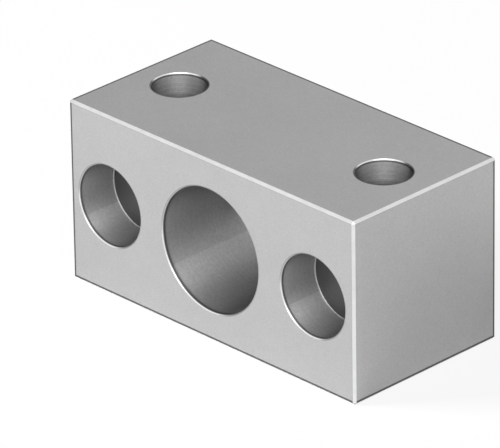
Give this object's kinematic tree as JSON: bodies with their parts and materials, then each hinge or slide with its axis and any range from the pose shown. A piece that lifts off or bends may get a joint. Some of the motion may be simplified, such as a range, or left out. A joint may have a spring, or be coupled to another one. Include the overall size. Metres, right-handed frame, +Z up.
{
  "type": "machined mounting block",
  "caption": "Machined aluminium mounting block with a through bore, blind pockets in its front face and vertical screw holes.",
  "frame": {"origin": "middle of the block's base", "axes": "+X along the block's length, -Y out of the front face where the pockets open, +Z up along the screw holes"},
  "size_m": [0.06, 0.03, 0.03],
  "materials": {
    "aluminium": "satin, finely machined, with bright broken edges"
  },
  "bodies": {
    "root": {"mounting_block": "aluminium"}
  },
  "joints": []
}
